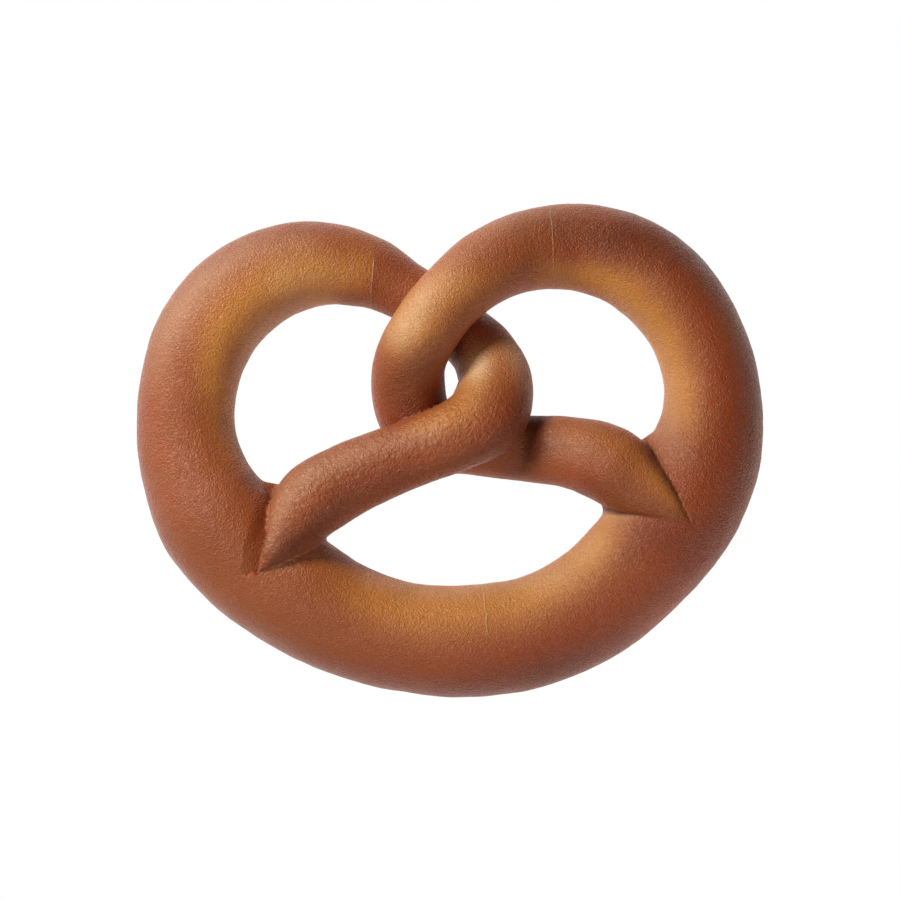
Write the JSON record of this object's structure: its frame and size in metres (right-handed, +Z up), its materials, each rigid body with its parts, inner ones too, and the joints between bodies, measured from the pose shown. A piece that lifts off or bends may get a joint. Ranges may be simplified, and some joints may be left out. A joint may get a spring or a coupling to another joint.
{
  "type": "giant pretzel",
  "caption": "Giant imitation soft pretzel in one piece of painted moulded foam: a thick twisted rope with three large openings.",
  "frame": {"origin": "middle of the pretzel's outline in plan, on the surface it lies on", "axes": "+X along the pretzel's width, +Y from the belly towards the two loops, +Z up, out of the shown side"},
  "size_m": [0.3598, 0.2824, 0.0623],
  "materials": {
    "crust": "airbrushed red-brown and ochre foam skin, satin, finely wrinkled"
  },
  "bodies": {
    "root": {"pretzel": "crust"}
  },
  "joints": []
}
